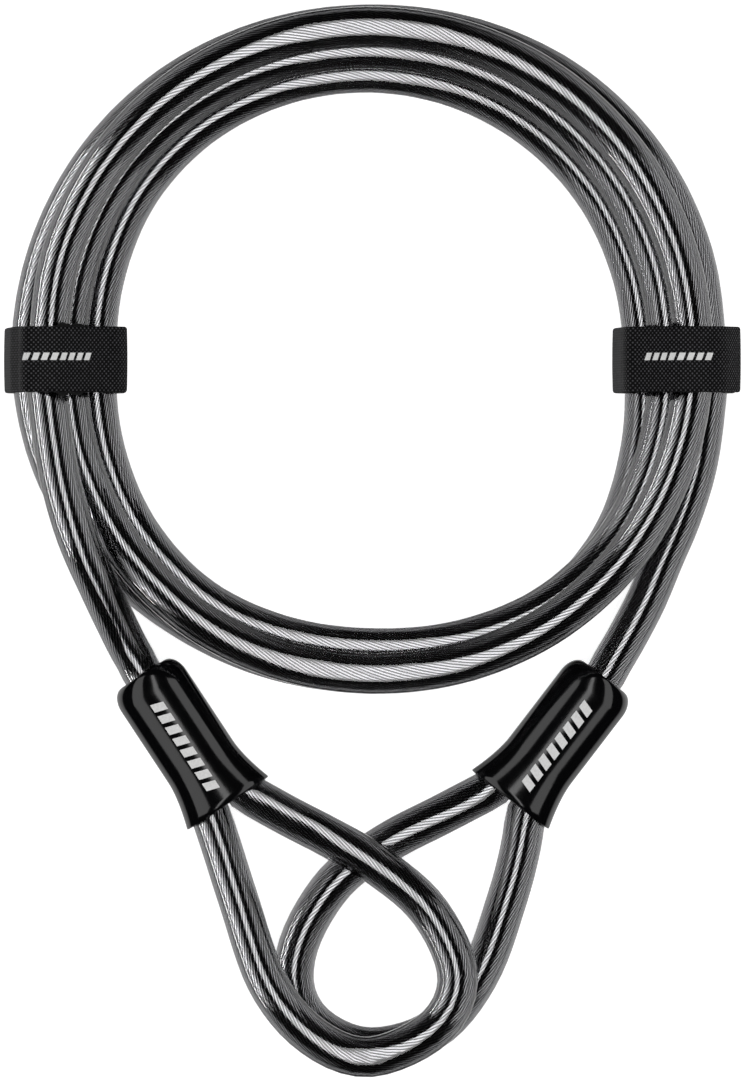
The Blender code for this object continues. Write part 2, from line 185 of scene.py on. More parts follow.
class RopeSettings(bpy.types.PropertyGroup):
    wires: IntProperty(name="Wires", default=32, min=6, max=60,
                       description="Wires that show round the rope")
    strands: IntProperty(name="Strands", default=6, min=3, max=12,
                         description="Strands that the wires are gathered in")
    lay: size("Lay", 66.0, "Length in which a strand goes once round the rope")
    groove: size("Groove", 0.006, "Depth of the groove between two wires")
    furrow: size("Furrow", 0.012, "Depth of the furrow between two strands")
    step: size("Step", 4.0, "Distance between two rings of the rope's mesh")
    steel: hue("Steel", "#A9A9AA", "Crown of a bright drawn wire")
    # Painted shade: this dark colour fills the gaps between wires, and more faintly the
    # furrows between strands, in place of real shadow.
    valley_shade: hue("Valley", "#050506", "Greased gap between two wires")


class SleeveSettings(bpy.types.PropertyGroup):
    sides: IntProperty(name="Sides", default=32, min=8, max=64,
                       description="Sides of the sleeve's round section")
    step: size("Step", 3.0, "Distance between two rings of the sleeve's mesh")
    tint: hue("Tint", "#E4E4E6", "Colour that the clear plastic gives to light")


class BootSettings(bpy.types.PropertyGroup):
    lip: size("Lip", 0.5, "Radius of the rounded edge at the mouth")
    wall: size("Wall", 1.5, "Thickness of the wall at the mouth")
    plastic: hue("Plastic", "#08080A", "Glossy black moulding")
    ink: hue("Ink", "#FFFFFF", "White printed mark, where its ink is thick")
    thin_ink: hue("Thin ink", "#DADAD8", "White printed mark, where its ink is thin")


class StrapSettings(bpy.types.PropertyGroup):
    crown: size("Crown", 0.12, "How much thicker the webbing is in its middle")
    # The thread and gap colours are painted light: a painted highlight on each thread's top
    # and a painted shadow between threads.
    thread: hue("Thread", "#505053", "Top of a nylon thread, where it catches light")
    gap: hue("Gap", "#020203", "Shadow between two threads")
    hook_pitch: size("Hook pitch", 1.2, "Distance between two hooks on the tape")


# ---------------------------------------------------------------- lines and places

def catmull_rom(points, per_span):
    """Points on a smooth curve through the given points."""
    ends = [2 * points[0] - points[1]] + list(points) + [2 * points[-1] - points[-2]]
    curve = []
    for i in range(1, len(ends) - 2):
        p0, p1, p2, p3 = ends[i - 1:i + 3]
        for k in range(per_span):
            t = k / per_span
            curve.append(0.5 * (2 * p1 + (p2 - p0) * t
                                + (2 * p0 - 5 * p1 + 4 * p2 - p3) * t ** 2
                                + (3 * p1 - p0 - 3 * p2 + p3) * t ** 3))
    curve.append(points[-1].copy())
    return curve


def coil_value(angle, column):
    """A column of the coil's table at any angle, on a smooth curve."""
    last = len(COIL_PASSES) - 1

    def slope(k):
        before, after = COIL_PASSES[max(k - 1, 0)], COIL_PASSES[min(k + 1, last)]
        return (after[column] - before[column]) / (after[0] - before[0])

    i = max(k for k in range(last) if COIL_PASSES[k][0] <= angle)
    start, end = COIL_PASSES[i], COIL_PASSES[i + 1]
    span = end[0] - start[0]
    t = (angle - start[0]) / span
    return ((2 * t ** 3 - 3 * t ** 2 + 1) * start[column]
            + (t ** 3 - 2 * t ** 2 + t) * span * slope(i)
            + (3 * t ** 2 - 2 * t ** 3) * end[column]
            + (t ** 3 - t ** 2) * span * slope(i + 1))


def coil_points():
    """The coil's turns, one point for each step."""
    points = []
    for k in range(int(COIL_PASSES[-1][0] / COIL_STEP) + 1):
        angle = k * COIL_STEP
        radius = COIL_RADIUS + PITCH * coil_value(angle, 1)
        height = LOWEST_PASS + PITCH * coil_value(angle, 2)
        turn = math.radians(angle)
        points.append(COIL_CENTRE + Vector((radius * math.cos(turn),
                                            radius * math.sin(turn), height)))
    return points


def lifted(table, low, high):
    """A table's points in metres, with heights between low and high."""
    return [Vector((x * MM, y * MM, low + share * (high - low))) for x, y, share in table]


class Boot:
    """A boot's place: its middle line runs from the coil end to the mouth."""

    def __init__(self, side, coil_end, mouth, lift):
        self.side = side
        self.height = BOOT_THICKNESS / 2 + lift
        self.start = Vector((coil_end[0] * MM, coil_end[1] * MM, self.height))
        mouth_centre = Vector((mouth[0] * MM, mouth[1] * MM, self.height))
        self.along = (mouth_centre - self.start).normalized()
        self.across = Vector((0, 0, 1)).cross(self.along)

    def point(self, along, across=0.0, up=0.0):
        return self.start + self.along * along + self.across * across + Vector((0, 0, up))


RIGHT_BOOT = Boot("right", (57.1, -33.5), (34.0, -63.6), 0.0)
LEFT_BOOT = Boot("left", (-55.8, -32.7), (-35.0, -64.2), LEFT_BOOT_LIFT)


def cable_route():
    """The coil's cable from the right boot to the left boot."""
    coil = coil_points()
    right = lifted(RIGHT_TAIL, RIGHT_BOOT.height, coil[0].z)
    left = lifted(LEFT_TAIL, LEFT_BOOT.height, coil[-1].z)
    return ([RIGHT_BOOT.point(BOOT_GRIP), RIGHT_BOOT.point(0.0)] + right + coil + left
            + [LEFT_BOOT.point(0.0), LEFT_BOOT.point(BOOT_GRIP)])


def eye_route(boot, table, level, first_side):
    """The eye's sleeve, from one side of the boot's mouth to the other."""
    inside = BOOT_LENGTH - BOOT_MOUTH_GRIP
    outside = BOOT_LENGTH + FIT_GAP
    near = first_side * LEG_OFFSET
    loop = catmull_rom([boot.point(outside, near)] + lifted(table, boot.height, level)
                       + [boot.point(outside, -near)], POINTS_PER_SPAN)
    return [boot.point(inside, near)] + loop + [boot.point(inside, -near)]


def rope_route(right_eye, left_eye, cable):
    """The rope from the end in the right ferrule to the end in the left one."""
    ferrule_end = FERRULE_START + FERRULE_LENGTH
    tail_end = FERRULE_START + FIT_GAP
    into_sleeve = BOOT_LENGTH - BOOT_MOUTH_GRIP - FIT_GAP

    def in_boot(boot, side, first):
        return [boot.point(first, side * ROPE_OFFSET),
                boot.point(ferrule_end, side * ROPE_OFFSET),
                boot.point(into_sleeve, side * LEG_OFFSET)]

    return (in_boot(RIGHT_BOOT, -1, tail_end) + right_eye[1:-1]
            + in_boot(RIGHT_BOOT, 1, FERRULE_START)[::-1] + cable
            + in_boot(LEFT_BOOT, -1, FERRULE_START) + left_eye[::-1][1:-1]
            + in_boot(LEFT_BOOT, 1, tail_end)[::-1])


ROUTE = cable_route()
CABLE_LINE = catmull_rom(ROUTE, POINTS_PER_SPAN)
RIGHT_LEVEL = CABLE_RADIUS + EYE_HEIGHT
RIGHT_EYE_LINE = eye_route(RIGHT_BOOT, RIGHT_EYE, RIGHT_LEVEL, -1)
LEFT_EYE_LINE = eye_route(LEFT_BOOT, LEFT_EYE, RIGHT_LEVEL + PITCH, 1)


def line_length(points):
    return sum((b - a).length for a, b in zip(points, points[1:]))


def evenly(points, spacing):
    """Points a constant distance apart along a line, its two ends among them."""
    count = max(2, round(line_length(points) / spacing))
    step = line_length(points) / count
    spread, due, done = [points[0].copy()], step, 0.0
    for a, b in zip(points, points[1:]):
        length = (b - a).length
        while len(spread) < count and due <= done + length:
            spread.append(a.lerp(b, (due - done) / length))
            due += step
        done += length
    spread.append(points[-1].copy())
    return spread


class Strap:
    """A strap's loop round the bundle, in the plane of X and Z."""

    def __init__(self, side, direction):
        self.side = side
        self.direction = direction
        self.bodies = (side + "_strap", side + "_flap")
        inner_radius = COIL_RADIUS - PITCH
        reach = math.degrees(math.asin(STRAP_WIDTH / 2 / inner_radius))
        window = math.radians(reach + STRAP_SLIDE)
        spots = []
        for a, b in zip(ROUTE, ROUTE[1:]):
            for k in range(SPOTS_PER_SPAN):
                spot = a.lerp(b, k / SPOTS_PER_SPAN) - COIL_CENTRE
                radius = math.hypot(spot.x, spot.y)
                off_axis = math.acos(max(-1.0, min(1.0, direction * spot.x / radius)))
                if off_axis <= window:
                    spots.append((direction * radius, spot.z))
                    spots.append((direction * radius * math.cos(math.radians(reach)), spot.z))
        self.circles = [(x, z, CABLE_RADIUS) for x, z in spots]
        top = max(z for x, z in spots)
        low_x = min(x for x, z in spots) - CABLE_RADIUS
        high_x = max(x for x, z in spots) + CABLE_RADIUS
        inset = SHOULDER_INSET + SHOULDER_RADIUS
        for x in (low_x + inset, high_x - inset):
            self.circles.append((x, top - SHOULDER_DROP, SHOULDER_RADIUS))

    def at(self, angle, offset):
        """The point of the loop, offset outwards, whose outward normal has this angle."""
        nx, nz = math.cos(math.radians(angle)), math.sin(math.radians(angle))
        x, z, radius = max(self.circles, key=lambda c: c[0] * nx + c[1] * nz + c[2])
        return Vector((x + nx * (radius + offset), COIL_CENTRE.y, z + nz * (radius + offset)))

    def path(self, start, end, offset):
        """A line from one angle down to another, offset by a function of the angle."""
        count = math.ceil((start - end) / HULL_STEP)
        angles = [start + (end - start) * k / count for k in range(count + 1)]
        return [self.at(angle, offset(angle)) for angle in angles]

    def layers(self):
        """The line under each layer of the strap, with its thickness."""
        loop_level = FIT_GAP + BAND_THICKNESS + FIT_GAP
        hook_level = loop_level + PATCH_THICKNESS + FIT_GAP
        flap_level = hook_level + PATCH_THICKNESS + FIT_GAP

        def flap_offset(angle):
            share = (FLAP_RISE_START - angle) / (FLAP_RISE_START - FLAP_RISE_END)
            share = max(0.0, min(1.0, share))
            return FIT_GAP + (flap_level - FIT_GAP) * share

        return {
            "band": self.path(BAND_START, FOLD_START - 360, lambda angle: FIT_GAP),
            "loop": self.path(PATCH_START, PATCH_END, lambda angle: loop_level),
            "hook": self.path(PATCH_START, PATCH_END, lambda angle: hook_level),
            "flap": self.path(FOLD_START, FLAP_END, flap_offset),
        }


RIGHT_STRAP = Strap("right", 1)
LEFT_STRAP = Strap("left", -1)


# ---------------------------------------------------------------- meshes

def link(piece):
    bpy.context.scene.collection.objects.link(piece)
    return piece


def mesh_piece(name, vertices, faces, finish, sharp=None):
    """A closed mesh with its faces pointing out, shaded smooth."""
    mesh = bpy.data.meshes.new(name)
    mesh.from_pydata(vertices, [], faces)
    shell = bmesh.new()
    shell.from_mesh(mesh)
    bmesh.ops.recalc_face_normals(shell, faces=shell.faces)
    shell.to_mesh(mesh)
    shell.free()
    mesh.shade_smooth()
    if sharp is not None:
        mesh.set_sharp_from_angle(angle=math.radians(sharp))
    mesh.materials.append(finish)
    return link(bpy.data.objects.new(name, mesh))


def path_piece(name, points):
    """A line of edges for a node tree to work on."""
    mesh = bpy.data.meshes.new(name)
    mesh.from_pydata(points, [(i, i + 1) for i in range(len(points) - 1)], [])
    return link(bpy.data.objects.new(name, mesh))


def grown(piece, tree, **values):
    """Runs a node tree on a piece and keeps the result as its plain mesh."""
    modifier = piece.modifiers.new(tree.name, "NODES")
    modifier.node_group = tree
    for item in tree.interface.items_tree:
        key = item.name.lower().replace(" ", "_")
        if key in values:
            modifier[item.identifier] = values[key]
    graph = bpy.context.evaluated_depsgraph_get()
    mesh = bpy.data.meshes.new_from_object(piece.evaluated_get(graph))
    piece.modifiers.remove(modifier)
    mesh.name = piece.name
    piece.data = mesh
    return piece


def rings_to_faces(ring_count, ring_size, closed=False):
    """Quads between rings of vertices, and end caps unless the rings close up."""
    faces = []
    for i in range(ring_count if closed else ring_count - 1):
        here, after = i * ring_size, (i + 1) % ring_count * ring_size
        for k in range(ring_size):
            k2 = (k + 1) % ring_size
            faces.append((here + k, here + k2, after + k2, after + k))
    if not closed:
        faces.append(tuple(range(ring_size)))
        faces.append(tuple(range((ring_count - 1) * ring_size, ring_count * ring_size))[::-1])
    return faces


# ---------------------------------------------------------------- node trees

# Sockets of a Mix node that mixes colours: they share their names with other sockets.
MIX_LOW, MIX_HIGH, MIX_RESULT = 6, 7, 2


def connect(tree, node, inputs):
    """Sets a node's inputs, each to a value, a socket or another node's first output."""
    for key, value in inputs.items():
        if isinstance(value, bpy.types.Node):
            value = value.outputs[0]
        if isinstance(value, bpy.types.NodeSocket):
            tree.links.new(value, node.inputs[key])
        else:
            node.inputs[key].default_value = value


def add(tree, kind, inputs=None, **settings):
    """Adds a node with its settings, and connects its inputs."""
    node = tree.nodes.new(kind)
    for name, value in settings.items():
        setattr(node, name, value)
    connect(tree, node, inputs or {})
    return node


def geometry_tree(name, **inputs):
    """A geometry tree that takes a piece, the named inputs and a finish."""
    tree = bpy.data.node_groups.new(name, "GeometryNodeTree")
    tree.interface.new_socket("Geometry", in_out="OUTPUT", socket_type="NodeSocketGeometry")
    for label, kind in {"Geometry": "Geometry", **inputs, "Finish": "Material"}.items():
        tree.interface.new_socket(label, in_out="INPUT", socket_type="NodeSocket" + kind)
    return tree, tree.nodes.new("NodeGroupInput").outputs


def close_tree(tree, taken, geometry):
    """Ends a tree in plain, smooth, painted geometry."""
    real = add(tree, "GeometryNodeRealizeInstances", {0: geometry})
    smooth = add(tree, "GeometryNodeSetShadeSmooth", {0: real})
    painted = add(tree, "GeometryNodeSetMaterial", {0: smooth, "Material": taken["Finish"]})
    add(tree, "NodeGroupOutput", {0: painted})
    return tree


def even_line(tree, taken):
    """The line that a tree takes, with its points one step apart."""
    line = add(tree, "GeometryNodeMeshToCurve", {0: taken["Geometry"]})
    return add(tree, "GeometryNodeResampleCurve", {"Curve": line, "Length": taken["Step"]},
               mode="LENGTH")


def waves_round(tree, direction, counts):
    """For each count, a wave with that many crests round a rope, from the direction in
    which a spot lies from the rope's middle."""
    parts = add(tree, "ShaderNodeSeparateXYZ", {0: direction})
    turn = add(tree, "ShaderNodeMath", {0: parts.outputs["Y"], 1: parts.outputs["X"]},
               operation="ARCTAN2")
    waves = []
    for count in counts:
        phase = add(tree, "ShaderNodeMath", {0: turn, 1: count}, operation="MULTIPLY")
        waves.append(add(tree, "ShaderNodeMath", {0: phase}, operation="COSINE"))
    return waves


def tube_tree():
    """A round tube with closed ends along a line."""
    tree, taken = geometry_tree("tube along a line", Radius="Float", Step="Float",
                                Sides="Int")
    ring = add(tree, "GeometryNodeCurvePrimitiveCircle", {
        "Resolution": taken["Sides"], "Radius": taken["Radius"]})
    tube = add(tree, "GeometryNodeCurveToMesh", {
        "Curve": even_line(tree, taken), "Profile Curve": ring, "Fill Caps": True})
    return close_tree(tree, taken, tube)


SIDES_PER_WIRE = 3


def rope_tree():
    """A laid rope along a line: one closed skin whose wires and strands are ridges
    that wind round it. Each vertex keeps its direction from the rope's middle."""
    tree, taken = geometry_tree(
        "laid rope along a line", Wires="Int", Strands="Int", Radius="Float",
        Groove="Float", Furrow="Float", Lay="Float", Step="Float")
    place = add(tree, "GeometryNodeSplineParameter")
    turns = add(tree, "ShaderNodeMath", {0: place.outputs["Length"], 1: taken["Lay"]},
                operation="DIVIDE")
    tilt = add(tree, "ShaderNodeMath", {0: turns, 1: math.tau}, operation="MULTIPLY")
    wound = add(tree, "GeometryNodeSetCurveTilt", {
        "Curve": even_line(tree, taken), "Tilt": tilt})
    sides = add(tree, "ShaderNodeMath", {0: taken["Wires"], 1: SIDES_PER_WIRE},
                operation="MULTIPLY")
    ring = add(tree, "GeometryNodeCurvePrimitiveCircle", {
        "Resolution": sides, "Radius": taken["Radius"]})
    spot = add(tree, "GeometryNodeInputPosition")
    depths = []
    waves = waves_round(tree, spot, (taken["Wires"], taken["Strands"]))
    for wave, depth in zip(waves, ("Groove", "Furrow")):
        dip = add(tree, "ShaderNodeMath", {0: wave, 1: -0.5, 2: 0.5},
                  operation="MULTIPLY_ADD")
        depths.append(add(tree, "ShaderNodeMath", {0: dip, 1: taken[depth]},
                          operation="MULTIPLY"))
    depth = add(tree, "ShaderNodeMath", dict(enumerate(depths)), operation="ADD")
    inwards = add(tree, "ShaderNodeMath", {0: depth, 1: -1.0}, operation="MULTIPLY")
    direction = add(tree, "ShaderNodeVectorMath", {0: spot}, operation="NORMALIZE")
    offset = add(tree, "ShaderNodeVectorMath", {0: direction, "Scale": inwards},
                 operation="SCALE")
    marked = add(tree, "GeometryNodeStoreNamedAttribute", {
        "Geometry": ring, "Name": "around", "Value": direction},
        data_type="FLOAT_VECTOR", domain="POINT")
    ridged = add(tree, "GeometryNodeSetPosition", {"Geometry": marked, "Offset": offset})
    skin = add(tree, "GeometryNodeCurveToMesh", {
        "Curve": wound, "Profile Curve": ridged, "Fill Caps": True})
    return close_tree(tree, taken, skin)


STUD_SIDES = 5
STUD_FOOT = 0.5                # radius at its foot, as a share of that at its head
STUD_SIZES = {"Min": (0.8, 0.8, 0.8), "Max": (1.2, 1.2, 1.0), "Seed": 7}


def stud_tree():
    """A small stud on every vertex of a sheet, standing along its normal."""
    tree, taken = geometry_tree("studs on a sheet", Radius="Float", Height="Float")
    foot = add(tree, "ShaderNodeMath", {0: taken["Radius"], 1: STUD_FOOT},
               operation="MULTIPLY")
    stem = add(tree, "GeometryNodeMeshCone", {
        "Vertices": STUD_SIDES, "Radius Top": taken["Radius"], "Radius Bottom": foot,
        "Depth": taken["Height"]})
    normal = add(tree, "GeometryNodeInputNormal")
    stance = add(tree, "FunctionNodeAlignRotationToVector", {"Vector": normal}, axis="Z")
    sizes = add(tree, "FunctionNodeRandomValue", STUD_SIZES, data_type="FLOAT_VECTOR")
    studs = add(tree, "GeometryNodeInstanceOnPoints", {
        "Points": taken["Geometry"], "Instance": stem, "Rotation": stance,
        "Scale": sizes})
    return close_tree(tree, taken, studs)


# ---------------------------------------------------------------- finishes

PER_MM = 1000.0                # turns a noise's grains to the millimetre into its scale


def new_finish(name, colour, roughness, inputs):
    """A material with its shader and tree."""
    finish = bpy.data.materials.new(name)
    finish.use_nodes = True
    tree = finish.node_tree
    shader = tree.nodes["Principled BSDF"]
    connect(tree, shader, {"Base Color": (*colour, 1.0), "Roughness": roughness, **inputs})
    return finish, shader, tree


def grained_finish(name, colours, roughness, grain, detail, inputs=None, bump=None):
    """A material that changes with a noise fixed to the piece. Grain is the noise's
    scale and detail its finer layers. Colours and roughness are each one value or the
    two ends of a range, and bump is a strength and a distance."""
    finish, shader, tree = new_finish(name, colours[-1], roughness[-1], inputs or {})
    place = add(tree, "ShaderNodeTexCoord")
    noise = add(tree, "ShaderNodeTexNoise", {
        "Vector": place.outputs["Object"], "Scale": grain, "Detail": detail})
    if len(colours) == 2:
        shade = add(tree, "ShaderNodeMix", {
            "Factor": noise, MIX_LOW: (*colours[0], 1.0), MIX_HIGH: (*colours[1], 1.0)},
            data_type="RGBA")
        connect(tree, shader, {"Base Color": shade.outputs[MIX_RESULT]})
    if len(roughness) == 2:
        polish = add(tree, "ShaderNodeMapRange", {
            "Value": noise, "To Min": roughness[0], "To Max": roughness[1]})
        connect(tree, shader, {"Roughness": polish})
    if bump:
        relief = add(tree, "ShaderNodeBump", {
            "Height": noise, "Strength": bump[0], "Distance": bump[1]})
        connect(tree, shader, {"Normal": relief})
    return finish


# How a wire and a strand paint shade on the rope: the height on its wave at which it
# is fully bright, and how bright it stays in the painted shade of the dip beside it.
WIRE_SHADE = (0.9, 0.0)
STRAND_SHADE = (-0.7, 0.8)


def steel_wire(rope):
    """Bright drawn steel wire, laid tight: each wire is a fine ridge with painted shade
    in the gap beside it, so a reflection in the rope is crossed by slanting lines.
    A real rope may show more and finer wires, which are drawn coarser here to show."""
    finish, shader, tree = new_finish("drawn bright steel wire", rope.steel, 0.1,
                                      {"Metallic": 1.0})
    around = add(tree, "ShaderNodeAttribute", attribute_name="around")
    waves = waves_round(tree, around.outputs["Vector"], (rope.wires, rope.strands))
    ridges = []
    for wave, (full, least) in zip(waves, (WIRE_SHADE, STRAND_SHADE)):
        ridges.append(add(tree, "ShaderNodeMapRange", {
            "Value": wave, "From Min": -1.0, "From Max": full, "To Min": least},
            clamp=True, interpolation_type="SMOOTHSTEP"))
    height = add(tree, "ShaderNodeMath", dict(enumerate(ridges)), operation="MULTIPLY")
    # Painted shade: the rope's colour darkens towards the dark gap colour between wires and
    # between strands.
    colour = add(tree, "ShaderNodeMix", {
        "Factor": height, MIX_LOW: (*rope.valley_shade, 1.0), MIX_HIGH: (*rope.steel, 1.0)},
        data_type="RGBA")
    bump = add(tree, "ShaderNodeBump", {
        "Height": ridges[0], "Strength": 0.18, "Distance": 0.05 * MM})
    connect(tree, shader, {"Base Color": colour.outputs[MIX_RESULT], "Normal": bump})
    return finish


def clear_vinyl(sleeve):
    """Clear extruded PVC: glossy and colourless. Its polish changes slowly, over about
    17 mm, as the die left it."""
    return grained_finish("clear extruded PVC", (sleeve.tint,), (0.01, 0.04),
                          0.06 * PER_MM, 2.0, {"Transmission Weight": 1.0, "IOR": 1.53})


def moulded_vinyl(boot):
    """Glossy injection-moulded PVC: black, with a faint orange-peel skin whose dimples
    are about 2 mm across."""
    return grained_finish("moulded gloss black PVC", (boot.plastic,), (0.07, 0.14),
                          0.45 * PER_MM, 3.0, {"IOR": 1.5}, bump=(0.05, 0.1 * MM))


def screen_ink(boot):
    """Thick white screen ink with a dry face, uneven over about 0.6 mm. Real ink is
    finer, and is drawn this coarse to show."""
    return grained_finish("white screen-printed ink", (boot.thin_ink, boot.ink), (0.5,),
                          1.8 * PER_MM, 2.0)


# Woven dots on the webbing stand one pitch apart along a row, and every second row
# is shifted by half a pitch. The fibres that make them uneven are drawn about 1 mm
# thick, far coarser than real ones, to show.
DOT_PITCH = 1.0 * MM
ROW_PITCH = 1.16 * MM
FIBRE_GRAIN = 0.9 * PER_MM
FIBRE_DEPTH = 0.9              # of a dot's height


def webbing(strap):
    """Black nylon webbing: a matt weave of raised threads in staggered rows, with a
    painted highlight on each thread's top and painted shadow between the threads.
    """
    finish, shader, tree = new_finish("woven black nylon webbing", strap.gap, 0.7,
                                      {"Specular IOR Level": 0.15})
    weave = add(tree, "ShaderNodeAttribute", attribute_name="weave")
    parts = add(tree, "ShaderNodeSeparateXYZ", {0: weave.outputs["Vector"]})
    waves = []
    for axis, pitch in (("X", DOT_PITCH), ("Y", ROW_PITCH)):
        turns = add(tree, "ShaderNodeMath", {0: parts.outputs[axis], 1: math.tau / pitch},
                    operation="MULTIPLY")
        waves.append(add(tree, "ShaderNodeMath", {0: turns}, operation="COSINE"))
    dots = add(tree, "ShaderNodeMath", dict(enumerate(waves)), operation="MULTIPLY")
    fibre = add(tree, "ShaderNodeTexNoise", {
        "Vector": weave.outputs["Vector"], "Scale": FIBRE_GRAIN, "Detail": 3.0})
    worn = add(tree, "ShaderNodeMath", {0: fibre, 1: FIBRE_DEPTH, 2: -FIBRE_DEPTH / 2},
               operation="MULTIPLY_ADD")
    dots = add(tree, "ShaderNodeMath", {0: dots, 1: worn}, operation="ADD")
    top = add(tree, "ShaderNodeMapRange", {
        "Value": dots, "From Min": 0.1, "From Max": 0.9}, clamp=True,
        interpolation_type="SMOOTHSTEP")
    # Painted light: the dots' tops take the thread colour as a painted highlight, and the
    # ground round them the gap colour as a painted shadow.
    colour = add(tree, "ShaderNodeMix", {
        "Factor": top, MIX_LOW: (*strap.gap, 1.0), MIX_HIGH: (*strap.thread, 1.0)},
        data_type="RGBA")
    bump = add(tree, "ShaderNodeBump", {
        "Height": dots, "Strength": 0.6, "Distance": 0.12 * MM})
    connect(tree, shader, {"Base Color": colour.outputs[MIX_RESULT], "Normal": bump})
    return finish


def tape(name, low, high, grain, roughness):
    """Nylon hook or loop tape: a matt ground with a close fibrous grain, drawn about
    1 mm coarse to show."""
    return grained_finish(name, (srgb(low), srgb(high)), (roughness,), grain, 4.0,
                          bump=(0.8, 0.2 * MM))


def crimped_alloy():
    """Soft aluminium after a press: dull, with marks of the die 1 or 2 mm apart."""
    return grained_finish("pressed aluminium", (srgb("#B9BABD"),), (0.3, 0.55),
                          0.7 * PER_MM, 4.0, {"Metallic": 1.0})


# ---------------------------------------------------------------- pieces

class CABLE_OT_sleeves(bpy.types.Operator):
    """The clear sleeve of the coil and of both eyes"""
    bl_idname = "cable.sleeves"
    bl_label = "Clear Sleeves"

    def execute(self, context):
        values = context.scene.cable_sleeve
        finish = clear_vinyl(values)
        tree = tube_tree()
        lines = [("coil_sleeve", CABLE_LINE), ("right_eye_sleeve", RIGHT_EYE_LINE),
                 ("left_eye_sleeve", LEFT_EYE_LINE)]
        for node, line in lines:
            piece = grown(path_piece("clear_" + node, line), tree, radius=CABLE_RADIUS,
                          step=values.step, sides=values.sides, finish=finish)
            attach(piece, "root")
            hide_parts(node)
        return {"FINISHED"}


class CABLE_OT_rope(bpy.types.Operator):
    """The laid steel rope inside the sleeves, from ferrule to ferrule"""
    bl_idname = "cable.rope"
    bl_label = "Wire Rope"

    def execute(self, context):
        values = context.scene.cable_rope
        line = rope_route(RIGHT_EYE_LINE, LEFT_EYE_LINE, CABLE_LINE)
        piece = grown(path_piece("laid_wire_rope", line), rope_tree(), wires=values.wires,
                      strands=values.strands, radius=ROPE_RADIUS, groove=values.groove,
                      furrow=values.furrow, lay=values.lay, step=values.step,
                      finish=steel_wire(values))
        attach(piece, "root")
        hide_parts("wire_rope")
        return {"FINISHED"}


RING_SIDES = 56
OVAL = 2.0                     # the power of a plain oval: a higher one is squarer
BOOT_SQUARENESS = 0.35         # added to it, past the rounded coil end
BOOT_END_WALL = 4 * FIT_GAP    # round the hole in the coil end
RIM_RINGS = 3
BODY_RINGS = 44
BODY_CROWDING = 1.5            # how much closer the rings are at the coil end
LIP_RINGS = 5


def boot_ring(boot, along, half_width, half_height, power):
    """A ring round the boot's middle line, between an oval and a rounded box."""
    ring = []
    for k in range(RING_SIDES):
        turn = math.tau * k / RING_SIDES
        c, s = math.cos(turn), math.sin(turn)
        ring.append(boot.point(along,
                               math.copysign(abs(c) ** (2 / power), c) * half_width,
                               math.copysign(abs(s) ** (2 / power), s) * half_height))
    return ring


def boot_section(along):
    """Half width, half height and squareness of the boot's outside at a distance."""
    end_half = CABLE_RADIUS + BOOT_END_WALL
    rounding = min(1.0, along / BOOT_SHOULDER)
    swell = math.sqrt(max(0.0, 1 - (1 - rounding) ** 2))
    into_flare = max(0.0, along - (BOOT_LENGTH - BOOT_FLARE)) / BOOT_FLARE
    flare = (BOOT_MOUTH_HALF_WIDTH - BOOT_HALF_WIDTH) * into_flare ** BOOT_FLARE_CURVE
    half_width = end_half + (BOOT_HALF_WIDTH - end_half) * swell + flare
    half_height = end_half + (BOOT_THICKNESS / 2 - end_half) * swell
    return half_width, half_height, OVAL + BOOT_SQUARENESS * rounding


def boot_surface(boot, along, across):
    """A point on the boot's upper face."""
    half_width, half_height, power = boot_section(along)
    rest = max(0.0, 1 - abs(across / half_width) ** power)
    return boot.point(along, across, half_height * rest ** (1 / power))


class CABLE_OT_boots(bpy.types.Operator):
    """The two moulded boots, each with a rounded end, a flare and a hollow mouth"""
    bl_idname = "cable.boots"
    bl_label = "Boots"

    def execute(self, context):
        values = context.scene.cable_boot
        finish = moulded_vinyl(values)
        for boot in (RIGHT_BOOT, LEFT_BOOT):
            rings = self.coil_end(boot) + self.body(boot, values) + self.mouth(boot, values)
            vertices = [v for ring in rings for v in ring]
            piece = mesh_piece(boot.side + "_boot_moulding", vertices,
                               rings_to_faces(len(rings), RING_SIDES), finish, sharp=50)
            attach(piece, "root")
            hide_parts(boot.side + "_boot")
        return {"FINISHED"}

    def coil_end(self, boot):
        """The hole that the cable goes into, from its floor to its rim."""
        hole = CABLE_RADIUS + FIT_GAP / 3
        rim_depth, rim_width = 3 * FIT_GAP, 2 * FIT_GAP
        rings = [boot_ring(boot, along, hole, hole, OVAL)
                 for along in (2 * BOOT_GRIP / 3, rim_depth)]
        for k in range(1, RIM_RINGS + 1):
            turn = math.radians(90 * k / RIM_RINGS)
            spread = hole + rim_width * (1 - math.cos(turn))
            rings.append(boot_ring(boot, rim_depth * (1 - math.sin(turn)), spread, spread,
                                   OVAL))
        return rings

    def body(self, boot, values):
        """The outside, with its rings closer together at the coil end."""
        rings = []
        for k in range(BODY_RINGS + 1):
            along = (BOOT_LENGTH - values.lip) * ((k / BODY_RINGS) ** BODY_CROWDING)
            rings.append(boot_ring(boot, along, *boot_section(along)))
        return rings

    def mouth(self, boot, values):
        """The rounded lip, the wall inside it and the mouth's floor."""
        places = []
        for k in range(1, LIP_RINGS + 1):
            turn = math.radians(180 * k / LIP_RINGS)
            along = BOOT_LENGTH - values.lip + values.lip * math.sin(turn)
            places.append((BOOT_LENGTH, along, values.wall / 2 * (1 - math.cos(turn))))
        floor = BOOT_LENGTH - BOOT_MOUTH_GRIP
        places.append((floor, floor, values.wall))
        rings = []
        for section_at, along, inset in places:
            half_width, half_height, power = boot_section(section_at)
            rings.append(boot_ring(boot, along, half_width - inset, half_height - inset,
                                   power))
        return rings


MARK_BLOCKS = 8
MARK_SLANT = 0.3               # from a block's foot to its head, as a share of the pitch
MARK_FILL = 0.66               # a block's width, as a share of the pitch
MARK_ROWS, MARK_COLUMNS = 4, 3
NORMAL_STEP = 0.05 * MM        # along a surface, to find which way it faces


